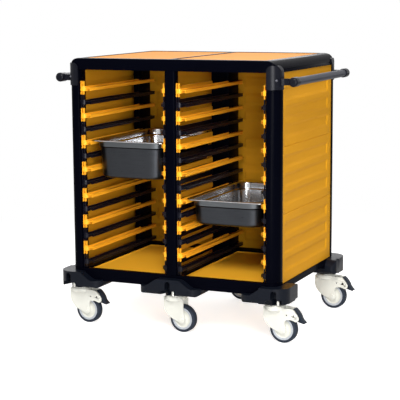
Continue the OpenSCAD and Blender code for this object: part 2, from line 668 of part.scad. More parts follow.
base_frame();
top_frame();
post_front_left();
post_front_middle();
post_front_right();
post_rear_left();
post_rear_middle();
post_rear_right();
top_panel_left();
top_panel_right();
side_panel_left();
side_panel_right();
back_panel_left();
back_panel_right();
floor_panel_left();
floor_panel_right();
bumper_front_left();
bumper_front_middle();
bumper_front_right();
bumper_rear_left();
bumper_rear_middle();
bumper_rear_right();
runners_left_yellow();
runners_left_black();
runners_middle_yellow();
runners_middle_black();
runners_right_yellow();
runners_right_black();
handle_tube_left();
handle_tube_right();
handle_bracket_front_left();
handle_bracket_front_right();
handle_bracket_rear_left();
handle_bracket_rear_right();
handle_screws();
castor_stems();
fork_front_left();
fork_front_middle();
fork_front_right();
fork_rear_left();
fork_rear_middle();
fork_rear_right();
hub_front_left();
hub_front_middle();
hub_front_right();
hub_rear_left();
hub_rear_middle();
hub_rear_right();
tyre_front_left();
tyre_front_middle();
tyre_front_right();
tyre_rear_left();
tyre_rear_middle();
tyre_rear_right();
pedal_front_left();
pedal_front_right();
pedal_rear_left();
pedal_rear_right();
pan_left();
pan_right();
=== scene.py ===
"""Looks of a two-bay tray cart: moulded frame, pressed panels, tray slides, castors and food pans.

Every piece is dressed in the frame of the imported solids, in metres, with the open front facing -Y.
"""
from __future__ import annotations

import json
import logging
import math
from dataclasses import dataclass, field
from enum import Enum
from typing import Sequence, Union

import bmesh
import bpy
from mathutils import Matrix, Vector


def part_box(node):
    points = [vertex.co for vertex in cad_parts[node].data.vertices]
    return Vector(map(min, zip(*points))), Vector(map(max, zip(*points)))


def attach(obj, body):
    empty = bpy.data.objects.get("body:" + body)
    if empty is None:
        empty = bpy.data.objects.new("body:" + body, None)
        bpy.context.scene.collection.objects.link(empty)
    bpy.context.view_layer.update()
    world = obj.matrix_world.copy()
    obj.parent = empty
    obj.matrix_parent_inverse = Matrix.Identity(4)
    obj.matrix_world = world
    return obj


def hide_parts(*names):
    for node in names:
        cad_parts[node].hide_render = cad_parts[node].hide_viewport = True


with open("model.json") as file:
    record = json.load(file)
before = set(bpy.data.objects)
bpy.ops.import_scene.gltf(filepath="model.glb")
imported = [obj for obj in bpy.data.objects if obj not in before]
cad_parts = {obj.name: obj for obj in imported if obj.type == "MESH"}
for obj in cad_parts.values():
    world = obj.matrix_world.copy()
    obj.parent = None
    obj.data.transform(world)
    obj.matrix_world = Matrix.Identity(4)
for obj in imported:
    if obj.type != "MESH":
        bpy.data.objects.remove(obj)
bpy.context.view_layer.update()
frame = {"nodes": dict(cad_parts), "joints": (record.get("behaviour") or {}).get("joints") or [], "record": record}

Colour = tuple[float, float, float]
Paint = tuple[float, float, float, float]
Point = tuple[float, float, float]
Outline = list[tuple[float, float]]
Corners = tuple[tuple[float, float], ...]

LOG = logging.getLogger("tray_cart")
MM = 0.001
WHITE = (1.0, 1.0, 1.0, 1.0)
PLACES = ("left", "middle", "right")
ROWS = ("front", "rear")
STATIONS = tuple(f"{row}_{place}" for row in ROWS for place in PLACES)

# Two faces lie in one flat when the cosine between them is above this.
FLAT_ENOUGH = math.cos(math.radians(0.3))
# A corner on a straight edge bends less than this, in radians.
STRAIGHT_ENOUGH = 1e-3
# Corners of the solids' triangles closer than this are one, in metres.
WELD = 2e-6
# Corners of a turned piece closer than this are one, in metres.
ON_AXIS = 1e-7
# Edges bent by more than this are rounded, in degrees.
EDGE_ANGLE = 32.0


# ---------------------------------------------------------------- shader maths
class Wire:
    """A number socket of a node tree whose arithmetic adds Math nodes."""

    def __init__(self, tree: NodeTree, socket: bpy.types.NodeSocket) -> None:
        """Keeps the socket and the tree that it belongs to."""
        self.tree = tree
        self.socket = socket

    def _math(self, operation: str, first: Number, second: Number) -> Wire:
        """Result of a Math node of two values."""
        return self.tree.add("ShaderNodeMath", {"operation": operation}, {0: first, 1: second}).out(0)

    def __add__(self, other: Number) -> Wire:
        """Sum of two values."""
        return self._math("ADD", self, other)

    __radd__ = __add__

    def __sub__(self, other: Number) -> Wire:
        """This value less another."""
        return self._math("SUBTRACT", self, other)

    def __rsub__(self, other: Number) -> Wire:
        """Another value less this one."""
        return self._math("SUBTRACT", other, self)

    def __mul__(self, other: Number) -> Wire:
        """Product of two values."""
        return self._math("MULTIPLY", self, other)

    __rmul__ = __mul__

    def __or__(self, other: Number) -> Wire:
        """Mask that is 1 where either of two masks is."""
        return self._math("MAXIMUM", self, other)

    def above(self, edge: float, soft: float) -> Wire:
        """Mask that climbs from 0 to 1 round an edge.

        Args:
            edge: value at which the mask is one half.
            soft: width of the climb.

        Returns:
            The mask, held between 0 and 1.
        """
        node = self.tree.add("ShaderNodeMapRange", {"clamp": True, "interpolation_type": "SMOOTHSTEP"},
                             {0: self, 1: edge - soft / 2, 2: edge + soft / 2, 3: 0.0, 4: 1.0})
        return node.out(0)


Number = Union[Wire, float]


class Added:
    """A node just added, from which results are taken by name or number."""

    def __init__(self, tree: NodeTree, node: bpy.types.Node) -> None:
        """Keeps the node and the tree that it belongs to."""
        self.tree = tree
        self.node = node

    def out(self, key: Union[str, int]) -> Wire:
        """One of the node's results as a wire."""
        return Wire(self.tree, self.node.outputs[key])


@dataclass(frozen=True)
class Pattern:
    """A noise pattern that varies a finish.

    Attributes:
        scale: how often it comes in a metre.
        detail: how many finer layers it has.
        rough: how strong the finer layers are.
        stretch: how often it comes along each axis, where that differs.
    """

    scale: float
    detail: float
    rough: float
    stretch: Point | None = None


class NodeTree:
    """The node tree of one material or of the world."""

    def __init__(self, owner: Union[bpy.types.Material, bpy.types.World]) -> None:
        """Empties the owner's tree and keeps it.

        Args:
            owner: the material or the world.
        """
        owner.use_nodes = True
        self.tree = owner.node_tree
        self.tree.nodes.clear()

    def add(self, kind: str, settings: dict[str, object], sockets: dict[Union[str, int], object]) -> Added:
        """Adds a node of any type.

        Args:
            kind: the node's type name.
            settings: its own settings, set before its sockets.
            sockets: values or wires for its input sockets, by name or number.

        Returns:
            The node that was added.
        """
        node = self.tree.nodes.new(kind)
        for key, value in settings.items():
            setattr(node, key, value)
        for key, value in sockets.items():
            if isinstance(value, Wire):
                self.tree.links.new(value.socket, node.inputs[key])
            else:
                node.inputs[key].default_value = value
        return Added(self, node)

    def place(self) -> Wire:
        """Position on the object, in metres."""
        return self.add("ShaderNodeTexCoord", {}, {}).out("Object")

    def noise(self, place: Wire, pattern: Pattern) -> Wire:
        """Adds a noise pattern.

        Args:
            place: position on the object.
            pattern: what the noise looks like.

        Returns:
            Its value between 0 and 1.
        """
        if pattern.stretch:
            place = self.add("ShaderNodeMapping", {}, {"Vector": place, "Scale": pattern.stretch}).out(0)
        return self.add("ShaderNodeTexNoise", {}, {"Vector": place, "Scale": pattern.scale,
                                                   "Detail": pattern.detail,
                                                   "Roughness": pattern.rough}).out("Fac")

    def mixed(self, mask: Wire, first: Paint, second: Paint) -> Wire:
        """Colour that goes from the first to the second as the mask goes from 0 to 1."""
        return self.add("ShaderNodeMix", {"data_type": "RGBA"}, {0: mask, 6: first, 7: second}).out(2)

    def white(self, kind: str, strength: float) -> Added:
        """Adds a white background or a white glow of a given strength."""
        return self.add(kind, {}, {"Color": WHITE, "Strength": strength})

    def either(self, mask: Wire, first: Added, second: Added) -> Added:
        """Shader that goes from the first to the second as the mask goes from 0 to 1."""
        return self.add("ShaderNodeMixShader", {}, {0: mask, 1: first.out(0), 2: second.out(0)})

    def close(self, kind: str, shader: Added) -> None:
        """Ends the tree with a shader that goes to an output node."""
        self.add(kind, {}, {"Surface": shader.out(0)})


def linear(colour: Sequence[int]) -> Paint:
    """Turns an 8-bit screen colour into the linear colour that a shader takes.

    Args:
        colour: red, green and blue from 0 to 255.

    Returns:
        Linear red, green, blue and a full alpha.
    """
    parts = [(c / 255 / 12.92) if c <= 10 else ((c / 255 + 0.055) / 1.055) ** 2.4 for c in colour]
    return (parts[0], parts[1], parts[2], 1.0)


# ---------------------------------------------------------------- finishes
@dataclass(frozen=True)
class Finish:
    """A finish whose material is built when the first piece needs it.

    Attributes:
        name: the material's name.
        slot: the record's slot that it belongs to; not used.
        tone: its screen colour.
    """

    name: str
    slot: str
    tone: tuple[int, int, int]

    def material(self) -> bpy.types.Material:
        """Builds the material, or returns it if it is there already.

        Returns:
            The material.
        """
        made = bpy.data.materials.get(self.name)
        if made is None:
            made = bpy.data.materials.new(self.name)
            self.fill(NodeTree(made))
        return made

    def fill(self, tree: NodeTree) -> None:
        """Adds the nodes of the finish to its material's empty tree."""
        raise NotImplementedError(self.name)


@dataclass(frozen=True)
class Moulded(Finish):
    """Satin moulded plastic or painted sheet with a fine grain and a slightly uneven tone.

    Attributes:
        shade: the colour of its darker patches.
        rough: mean roughness.
        shine: strength of its plain reflection.
        grain: size of its surface grain, in metres.
        depth: how strongly the grain shows.
        flow: slow clouds over a whole panel.
        cloud: clouds of a hand's width and less.
        scuff: upright scuff marks.
    """

    shade: tuple[int, int, int]
    rough: float
    shine: float
    grain: float = 1.2 * MM
    depth: float = 0.12
    flow: Pattern = Pattern(3.1, 2.0, 0.45)
    cloud: Pattern = Pattern(23.0, 4.0, 0.6)
    scuff: Pattern = Pattern(1.0, 5.0, 0.7, (9.0, 9.0, 70.0))

    def fill(self, tree: NodeTree) -> None:
        """Adds clouds, specks and scuffs, and the grain's relief.

        Args:
            tree: the material's empty tree.
        """
        place = tree.place()
        flow = tree.noise(place, self.flow)
        cloud = tree.noise(place, self.cloud)
        speck = tree.noise(place, Pattern(0.5 / self.grain, 2.0, 0.55))
        scuff = tree.noise(place, self.scuff).above(0.68, 0.12)
        bump = tree.add("ShaderNodeBump", {}, {"Strength": self.depth, "Distance": self.grain * 0.5,
                                               "Height": speck + cloud * 0.6})
        tree.close("ShaderNodeOutputMaterial", tree.add("ShaderNodeBsdfPrincipled", {}, {
            "Base Color": tree.mixed(flow * 0.45 + cloud * 0.4 + scuff * 0.15, linear(self.tone),
                                     linear(self.shade)),
            "Roughness": self.rough - 0.07 + flow * 0.06 + speck * 0.05 + scuff * 0.08,
            "Normal": bump.out(0), "Specular IOR Level": self.shine}))


@dataclass(frozen=True)
class BrushedSteel(Finish):
    """Drawn or turned steel with fine brush lines and faint wear.

    Attributes:
        rough: mean roughness.
        lines: how often the brush lines come along each axis.
        dulling: how much darker its dull patches are, in screen levels.
        haze: clouds over the sheet.
        marks: short wear marks.
        relief: height of the brush lines, in metres.
    """

    rough: float
    lines: tuple[float, float, float] = (14.0, 14.0, 900.0)
    dulling: int = 46
    haze: Pattern = Pattern(9.0, 3.0, 0.5)
    marks: Pattern = Pattern(1.0, 2.0, 0.6, (60.0, 60.0, 260.0))
    relief: float = 0.2 * MM

    def fill(self, tree: NodeTree) -> None:
        """Adds brush lines, haze and wear marks.

        Args:
            tree: the material's empty tree.
        """
        place = tree.place()
        brush = tree.noise(place, Pattern(1.0, 4.0, 0.65, self.lines))
        haze = tree.noise(place, self.haze)
        marks = tree.noise(place, self.marks).above(0.7, 0.08)
        dull = tuple(max(0, c - self.dulling) for c in self.tone)
        bump = tree.add("ShaderNodeBump", {}, {"Strength": 0.10, "Distance": self.relief, "Height": brush})
        tree.close("ShaderNodeOutputMaterial", tree.add("ShaderNodeBsdfPrincipled", {}, {
            "Base Color": tree.mixed(brush * 0.5 + haze * 0.35 + marks * 0.25, linear(self.tone),
                                     linear(dull)),
            "Roughness": self.rough - 0.08 + brush * 0.12 + haze * 0.06 + marks * 0.1,
            "Normal": bump.out(0), "Metallic": 1.0}))


FRAME_BLACK = Moulded("satin_black", "black_frame", (4, 5, 12), (2, 2, 7), 0.2, 0.008)
PANEL_YELLOW = Moulded("panel_sheet", "yellow_panel", (206, 146, 33), (197, 137, 27), 0.5, 0.02)
# Brighter copy of the panel yellow for the panels' inner faces: painted light on the bays' walls.
WALL_YELLOW_PAINTED_LIGHT = Moulded("wall_sheet_painted_light", "yellow_panel", (255, 186, 100), (248, 174, 86), 0.5, 0.05)
# Copy of the panel yellow for the top panels, toned darker than the floor sheet: painted shade that holds them
# down under the light from above.
TOP_YELLOW_PAINTED_SHADE = Moulded("top_sheet_painted_shade", "yellow_panel", (226, 150, 48), (216, 139, 40), 0.5, 0.01)
# Brighter copy of the panel yellow for the bay floors: painted light inside the bays.
FLOOR_YELLOW_PAINTED_LIGHT = Moulded("floor_sheet_painted_light", "yellow_panel", (255, 190, 52), (250, 180, 42), 0.44, 0.08)
RUNNER_YELLOW = Moulded("slide_yellow", "yellow_runner", (250, 176, 42), (242, 164, 32), 0.36, 0.2)
RUNNER_BLACK = Moulded("slide_black", "black_runner", (14, 13, 24), (8, 8, 15), 0.3, 0.15)
BUMPER_SLATE = Moulded("soft_slate", "slate_bumper", (14, 18, 27), (8, 11, 18), 0.32, 0.12, 1.6 * MM, 0.15)
BRACKET_BLACK = Moulded("collar_black", "black_bracket", (19, 20, 27), (12, 13, 19), 0.3, 0.1)
TUBE_GREY = Moulded("tube_coat", "handle_coat", (52, 54, 62), (42, 44, 53), 0.36, 0.1, 0.8 * MM, 0.06)
CASTOR_IVORY = Moulded("enamel_ivory", "castor_ivory", (214, 214, 206), (201, 200, 191), 0.38, 0.2)
RIM_GREY = Moulded("rim_band", "castor_ivory", (176, 180, 186), (156, 160, 167), 0.42, 0.3)
TYRE_GREY = Moulded("tread_rubber", "tyre_grey", (46, 52, 63), (35, 40, 50), 0.6, 0.08, 1.0 * MM, 0.25)
PEDAL_GREY = Moulded("pedal_moulding", "pedal_grey", (34, 40, 50), (25, 30, 40), 0.4, 0.12)
PLATED_STEEL = BrushedSteel("plated_steel", "castor_steel", (225, 224, 218), 0.3, (200.0, 200.0, 40.0))
SCREW_STEEL = BrushedSteel("screw_steel", "fastener_steel", (120, 120, 128), 0.3, (200.0, 200.0, 200.0))
# The four pan finishes are one stainless steel in lit and shaded copies. Outside body: darkened steel, a painted
# dark reflection.
PAN_BODY_PAINTED_SHADE = BrushedSteel("pan_body", "stainless", (76, 78, 82), 0.3)
# Band between the rim and the stacking step: a lighter copy of the steel, a painted reflection.
PAN_BAND_PAINTED_SHEEN = BrushedSteel("pan_band", "stainless", (112, 115, 118), 0.28)
# Thin ring under the stacking step: a near-black copy of the steel, a painted shadow in the crease.
PAN_CREASE_PAINTED_SHADE = BrushedSteel("pan_crease", "stainless", (26, 26, 29), 0.3)
# Inside and rim top: a bright copy of the steel, painted light and a painted reflection.
PAN_INSIDE_PAINTED_LIGHT = BrushedSteel("pan_inside", "stainless", (218, 218, 219), 0.16)


class Side(Enum):
    """Left or right of the cart as seen from its open front."""

    LEFT = "left"
    RIGHT = "right"


class PanZone(Enum):
    """Zones of a pan, by the number of their finish; the band, crease and inside zones carry painted light and
    shade.
    """

    BODY = 0
    BAND = 1
    CREASE = 2
    INSIDE = 3


# ---------------------------------------------------------------- mesh workshop
def joint(name: str) -> dict[str, object]:
    """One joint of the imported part."""
    return next(j for j in frame["joints"] if j["name"] == name)


def put_in_scene(name: str, data: bpy.types.ID) -> bpy.types.Object:
    """Makes an object of a mesh, a camera or a light.

    Args:
        name: the object's name.
        data: what it shows.

    Returns:
        The new object.
    """
    made = bpy.data.objects.new(name, data)
    bpy.context.scene.collection.objects.link(made)
    return made


def arc(first: float, last: float, faces: int) -> list[float]:
    """Angles in radians along a round stretch of so many faces, from two angles in degrees."""
    return [math.radians(first + (last - first) * i / faces) for i in range(faces + 1)]


def mirrored(upper: Outline) -> Outline:
    """Closes the upper half of a turned section with its mirror image."""
    return upper + [(r, -h) for r, h in reversed(upper)]


@dataclass
class Workshop:
    """Makes scene objects from meshes, dresses them and hands them to their bodies.

    Attributes:
        made: names of the pieces made so far.
    """

    made: list[str] = field(default_factory=list)

    def body_of(self, node: str) -> str:
        """Name of the moving body that a CAD node belongs to."""
        bodies = frame["record"]["behaviour"]["bodies"]
        return next(body for body, members in bodies.items() if node in members)

    def hand_over(self, piece: bpy.types.Object, finish: Finish, stands_for: Sequence[str],
                  body: str | None = None) -> None:
        """Dresses a piece and lets it ride on its body.

        Args:
            piece: the finished object.
            finish: what it is made of.
            stands_for: CAD nodes that it replaces, if any.
            body: the body that it rides on, when it replaces nothing.
        """
        piece.data.materials.clear()
        piece.data.materials.append(finish.material())
        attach(piece, body or self.body_of(stands_for[0]))
        if stands_for:
            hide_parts(*stands_for)
        self.made.append(piece.name)
        LOG.info("%s: %d faces, %s", piece.name, len(piece.data.polygons), finish.name)

    def line_with(self, piece: bpy.types.Object, *finishes: Finish) -> None:
        """Adds the finishes of the faces that were given a material number above 0."""
        for finish in finishes:
            piece.data.materials.append(finish.material())

    def dress(self, node: str, finish: Finish) -> None:
        """Gives a CAD node that keeps its own shape a finish.

        Args:
            node: the CAD node.
            finish: what it is made of.
        """
        shown = frame["nodes"][node]
        shown.data.materials.clear()
        shown.data.materials.append(finish.material())
        LOG.info("%s keeps its solid, %s", node, finish.name)

    def from_bmesh(self, name: str, mesh: bmesh.types.BMesh, sharp: float) -> bpy.types.Object:
        """Turns a bmesh into a smooth-shaded object whose hard edges stay sharp.

        Args:
            name: the object's name.
            mesh: the geometry, which is freed.
            sharp: angle in degrees above which an edge stays sharp.

        Returns:
            The new object.
        """
        data = bpy.data.meshes.new(name)
        mesh.to_mesh(data)
        mesh.free()
        data.shade_smooth()
        data.set_sharp_from_angle(angle=math.radians(sharp))
        return put_in_scene(name, data)

    def eased(self, node: str, finish: Finish, width: float, segments: int = 2,
              sharp: float = EDGE_ANGLE) -> None:
        """Stands a copy with rounded edges in for a CAD node.

        Args:
            node: the CAD node.
            finish: what it is made of.
            width: how wide the rounding is, in metres.
            segments: faces across the rounding.
            sharp: angle in degrees above which an edge is rounded.
        """
        mesh = bmesh.new()
        mesh.from_mesh(frame["nodes"][node].data)
        bmesh.ops.remove_doubles(mesh, verts=mesh.verts, dist=WELD)
        self.join_flats(mesh)
        piece = self.from_bmesh("eased_" + node, mesh, sharp)
        self.round_edges(piece, width, segments, sharp)
        self.hand_over(piece, finish, [node])

    def round_edges(self, piece: bpy.types.Object, width: float, segments: int, sharp: float) -> None:
        """Rounds a piece's edges and settles the result into its mesh.

        Args:
            piece: the piece, whose mesh is replaced.
            width: how wide the rounding is, in metres.
            segments: faces across the rounding.
            sharp: angle in degrees above which an edge is rounded.
        """
        rounding = piece.modifiers.new("rounded_edges", "BEVEL")
        rounding.width = width
        rounding.segments = segments
        rounding.limit_method = "ANGLE"
        rounding.angle_limit = math.radians(sharp)
        rounding.miter_outer = "MITER_ARC"
        rounding.use_clamp_overlap = True
        rounding.harden_normals = True
        graph = bpy.context.evaluated_depsgraph_get()
        settled = bpy.data.meshes.new_from_object(piece.evaluated_get(graph), depsgraph=graph)
        piece.modifiers.clear()
        piece.data = settled

    def join_flats(self, mesh: bmesh.types.BMesh) -> None:
        """Joins the triangles of each flat that has no hole in it into one face.

        Args:
            mesh: the geometry, which is changed.
        """
        mesh.faces.index_update()
        seen: set[int] = set()
        flats = []
        for start in mesh.faces:
            if start.index in seen:
                continue
            seen.add(start.index)
            flat, queue = [start], [start]
            while queue:
                for edge in queue.pop().edges:
                    for other in edge.link_faces:
                        if other.index not in seen and other.normal.dot(start.normal) > FLAT_ENOUGH:
                            seen.add(other.index)
                            flat.append(other)
                            queue.append(other)
            corners = {v.index for f in flat for v in f.verts}
            edges = {e.index for f in flat for e in f.edges}
            if len(flat) > 1 and len(corners) - len(edges) + len(flat) == 1:
                flats.append(flat)
        for flat in flats:
            bmesh.ops.dissolve_faces(mesh, faces=flat, use_verts=False)
        straight = [v for v in mesh.verts
                    if len(v.link_edges) == 2 and v.calc_edge_angle(0.0) < STRAIGHT_ENOUGH]
        bmesh.ops.dissolve_verts(mesh, verts=straight)

    def lathe(self, name: str, profile: Outline, steps: int, place: Matrix, sharp: float) -> bpy.types.Object:
        """Turns a closed profile about its own axis.

        Args:
            name: the object's name.
            profile: radius and height of each corner, in metres, round the closed section.
            steps: faces round the turn.
            place: where the turned piece goes; its axis is the matrix's Z.
            sharp: angle in degrees above which an edge stays sharp.

        Returns:
            The new object.
        """
        mesh = bmesh.new()
        rings = []
        for i in range(steps):
            turn = 2 * math.pi * i / steps
            rings.append([mesh.verts.new((r * math.cos(turn), r * math.sin(turn), z)) for r, z in profile])
        for a, b in zip(rings, rings[1:] + rings[:1]):
            for j in range(len(profile)):
                k = (j + 1) % len(profile)
                mesh.faces.new((a[j], b[j], b[k], a[k]))
        bmesh.ops.remove_doubles(mesh, verts=mesh.verts, dist=ON_AXIS)
        bmesh.ops.recalc_face_normals(mesh, faces=mesh.faces)
        mesh.transform(place)
        return self.from_bmesh(name, mesh, sharp)

    def skinned(self, name: str, rings: Sequence[Sequence[Point]], sharp: float) -> bpy.types.Object:
        """Joins rings of points into one skin, closed by its first and last ring.

        Args:
            name: the object's name.
            rings: rings of the same number of points.
            sharp: angle in degrees above which an edge stays sharp.

        Returns:
            The new object.
        """
        mesh = bmesh.new()
        rows = [[mesh.verts.new(p) for p in ring] for ring in rings]
        count = len(rows[0])
        for low, high in zip(rows, rows[1:]):
            for i in range(count):
                j = (i + 1) % count
                mesh.faces.new((low[i], low[j], high[j], high[i]))
        mesh.faces.new(list(reversed(rows[0])))
        mesh.faces.new(rows[-1])
        bmesh.ops.recalc_face_normals(mesh, faces=mesh.faces)
        return self.from_bmesh(name, mesh, sharp)


# ---------------------------------------------------------------- frame and panels
# Steps of a soft slope, as shares of its width.
EASE_STEPS = (0.0, 0.12, 0.3, 0.5, 0.7, 0.88, 1.0)
# Where a groove's walls start and end, as shares of its width.
GROOVE_STEPS = (1.0, 0.75, 0.25, 0.0)
# The mesh's rows between these shares lie on the groove's floor.
GROOVE_FLOOR = (0.2, 0.8)


def eased_step(t: float) -> float:
    """Climbs smoothly from 0 to 1 as t does."""
    t = min(1.0, max(0.0, t))
    return t * t * (3.0 - 2.0 * t)


@dataclass
class PressedPanel:
    """A wall panel with soft horizontal bands pressed into it, in groups parted by a thin groove.

    Attributes:
        shop: the workshop that makes the piece.
        node: the CAD node that it stands for.
        near: from the panel's first end to its bands, in metres.
        far: from the bands to its other end.
        foot: plain height under the lowest group.
        head: plain height over the highest group.
        deep: depth of a band.
        sheet_step: how much thicker the pressed panel stands than its sheet.
        ramp: width of a band's slope above and below it.
        end_ramp: width of the slope at a band's ends.
        groups: groups of bands, one above another.
        bands: bands in a group.
        pad: height left raised between two bands.
        end_pad: height left raised at the foot and head of a group.
        groove: width of the groove between two groups.
        sharp: angle in degrees above which an edge stays sharp.
    """

    shop: Workshop
    node: str
    near: float
    far: float
    foot: float = 1.0 * MM
    head: float = 20.5 * MM
    deep: float = 4.4 * MM
    sheet_step: float = 3.0 * MM
    ramp: float = 15.0 * MM
    end_ramp: float = 9.0 * MM
    groups: int = 3
    bands: int = 3
    pad: float = 30.0 * MM
    end_pad: float = 35.0 * MM
    groove: float = 4.5 * MM
    sharp: float = 40.0

    def __post_init__(self) -> None:
        """Takes the panel's place and size from the frame."""
        self.low, self.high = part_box(self.node)
        sizes = [end - start for start, end in zip(self.low, self.high)]
        self.is_side = self.node.startswith("side")
        self.is_right = self.node.endswith("right")
        self.thick, self.length = sizes[:2] if self.is_side else sizes[1::-1]
        self.height = sizes[2]
        self.group = (self.height - self.foot - self.head) / self.groups

    def build(self) -> None:
        """Makes the panel with its pressed outer face and the bulges on its inner face, which takes a brighter
        copy of the yellow as painted light.
        """
        spans = self.band_spans()
        rows = self.row_heights(spans)
        columns = sorted({0.0, self.length, *(self.near + self.end_ramp * t for t in EASE_STEPS),
                          *(self.length - self.far - self.end_ramp * t for t in EASE_STEPS)})
        mesh = bmesh.new()
        skins = []
        for inner in (False, True):
            skins.append([[mesh.verts.new(self.spot(along, up, self.sunk(along, up, spans, inner)))
                           for along in columns] for up in rows])
            for low_row, high_row in zip(skins[-1], skins[-1][1:]):
                for i in range(len(columns) - 1):
                    face = mesh.faces.new((low_row[i], low_row[i + 1], high_row[i + 1], high_row[i]))
                    face.material_index = int(inner)
        outer, inner = skins
        last_row, last_column = len(rows) - 1, len(columns) - 1
        rim = [(0, i) for i in range(last_column)] + [(j, last_column) for j in range(last_row)]
        rim += [(last_row, i) for i in range(last_column, 0, -1)] + [(j, 0) for j in range(last_row, 0, -1)]
        for (a, b), (c, d) in zip(rim, rim[1:] + rim[:1]):
            mesh.faces.new((outer[a][b], outer[c][d], inner[c][d], inner[a][b]))
        bmesh.ops.recalc_face_normals(mesh, faces=mesh.faces)
        piece = self.shop.from_bmesh("pressed_" + self.node, mesh, self.sharp)
        self.shop.hand_over(piece, PANEL_YELLOW, [self.node])
        # The inner faces take the brighter copy of the yellow, painted light for the bays.
        self.shop.line_with(piece, WALL_YELLOW_PAINTED_LIGHT)

    def spot(self, along: float, up: float, inward: float) -> Point:
        """Point of the panel.

        Args:
            along: distance from its first end.
            up: height above its foot.
            inward: depth below its outer face.

        Returns:
            The point, in the cart's frame.
        """
        low, high = self.low, self.high
        if self.is_side:
            return (high.x - inward if self.is_right else low.x + inward, low.y + along, low.z + up)
        return (high.x - along if self.is_right else low.x + along, high.y - inward, low.z + up)

    def sunk(self, along: float, up: float, spans: Outline, inner: bool) -> float:
        """Depth of a spot below the panel's outer face.

        Args:
            along: distance from the panel's first end.
            up: height above its foot.
            spans: foot and head of every band.
            inner: whether the spot is on the inner face, which has no groove.

        Returns:
            The depth, in metres.
        """
        pressed = self.pressed(along, up, spans) * self.deep
        if inner:
            return self.thick - self.sheet_step + pressed
        return max(pressed, self.groove_depth(along, up))

    def pressed(self, along: float, up: float, spans: Outline) -> float:
        """How far a spot is pressed in.

        Args:
            along: distance from the panel's first end.
            up: height above its foot.
            spans: foot and head of every band.

        Returns:
            From 0 on the plain sheet to 1 in the middle of a band.
        """
        half = self.ramp / 2
        ends = (eased_step((along - self.near) / self.end_ramp)
                * eased_step((self.length - self.far - along) / self.end_ramp))
        across = (eased_step((up - start + half) / self.ramp) * eased_step((end + half - up) / self.ramp)
                  for start, end in spans)
        return ends * max(across)

    def groove_depth(self, along: float, up: float) -> float:
        """Depth of the thin grooves at a spot.

        Args:
            along: distance from the panel's first end.
            up: height above its foot.

        Returns:
            The depth, in metres.
        """
        in_floor = any(GROOVE_FLOOR[0] < (top - up) / self.groove < GROOVE_FLOOR[1]
                       for top in self.groove_tops())
        return self.sheet_step / 2 if in_floor and self.near <= along <= self.length - self.far else 0.0

    def groove_tops(self) -> list[float]:
        """Heights at which the grooves between two groups end."""
        return [self.foot + k * self.group for k in range(1, self.groups)]

    def band_spans(self) -> Outline:
        """Foot and head of every band above the panel's foot.

        Returns:
            Pairs of heights, in metres.
        """
        band = (self.group - self.groove - 2 * self.end_pad - (self.bands - 1) * self.pad) / self.bands
        starts = [self.foot + k * self.group + self.end_pad + j * (self.pad + band)
                  for k in range(self.groups) for j in range(self.bands)]
        return [(start, start + band) for start in starts]

    def row_heights(self, spans: Outline) -> list[float]:
        """Heights of the mesh's rows, close together where the panel bends.

        Args:
            spans: foot and head of every band.

        Returns:
            The heights in rising order.
        """
        rows = {0.0, self.height}
        for bend in (bend for span in spans for bend in span):
            rows |= {bend - self.ramp / 2 + self.ramp * t for t in EASE_STEPS}
        for top in self.groove_tops():
            rows |= {top - self.groove * t for t in GROOVE_STEPS}
        return sorted(rows)


@dataclass
class Carcass:
    """Frame rings, posts and panels.

    Attributes:
        shop: the workshop that makes the pieces.
        edge: rounding of the frame's edges, in metres.
        top_edge: rounding of the top panels' edges.
        floor_edge: rounding of the bay floors' edges.
        panel_angle: bend in degrees above which a flat panel's edge is rounded.
        near: plain width of a wall panel before its bands.
        side_far: plain width of a side panel behind its bands.
        side_foot: plain height under a side panel's bands.
    """

    shop: Workshop
    edge: float = 1.6 * MM
    top_edge: float = 1.2 * MM
    floor_edge: float = 1.6 * MM
    panel_angle: float = 20.0
    near: float = 30 * MM
    side_far: float = 40 * MM
    side_foot: float = 10 * MM

    def build(self) -> None:
        """Makes the frame, the posts and the panels."""
        for node in ("base_frame", "top_frame"):
            self.shop.eased(node, FRAME_BLACK, self.edge, segments=3)
        for station in STATIONS:
            self.shop.eased(f"post_{station}", FRAME_BLACK, self.edge)
        for side in Side:
            # The top panels take a copy of the yellow toned down with painted shade.
            self.shop.eased(f"top_panel_{side.value}", TOP_YELLOW_PAINTED_SHADE, self.top_edge, 3, self.panel_angle)
            # The bay floors take a brighter copy of the yellow as painted light.
            self.shop.eased(f"floor_panel_{side.value}", FLOOR_YELLOW_PAINTED_LIGHT, self.floor_edge, 3, self.panel_angle)
            PressedPanel(self.shop, f"side_panel_{side.value}", self.near, self.side_far,
                         self.side_foot).build()
            PressedPanel(self.shop, f"back_panel_{side.value}", self.near, self.near).build()


# ---------------------------------------------------------------- slides, bumpers and handles
@dataclass
class Bar:
    """Adds the bars along Y of which one moulding is made.

    Attributes:
        mesh: the geometry that they join.
        face: where the guide's face stands along X.
        way: 1 where the ledge reaches towards +X, -1 towards -X.
        level: height of the ledge's top.
    """

    mesh: bmesh.types.BMesh
    face: float
    way: float
    level: float

    def add(self, outline: Outline, front: float, rear: float, slant: float = 0.0) -> None:
        """Adds a bar whose front end may be cut at a slant.

        Args:
            outline: distance from the guide's face and height over the ledge's top of each corner.
            front: the front end along Y.
            rear: the rear end along Y.
            slant: how far the front end falls back for each metre towards the bay.
        """
        start = min(x for x, _ in outline)
        first = [self.mesh.verts.new((self.face + self.way * x, front + slant * (x - start), self.level + z))
                 for x, z in outline]
        last = [self.mesh.verts.new((self.face + self.way * x, rear, self.level + z)) for x, z in outline]
        for i in range(len(outline)):
            j = (i + 1) % len(outline)
            self.mesh.faces.new((first[i], first[j], last[j], last[i]))
        self.mesh.faces.new(list(reversed(first)))
        self.mesh.faces.new(last)


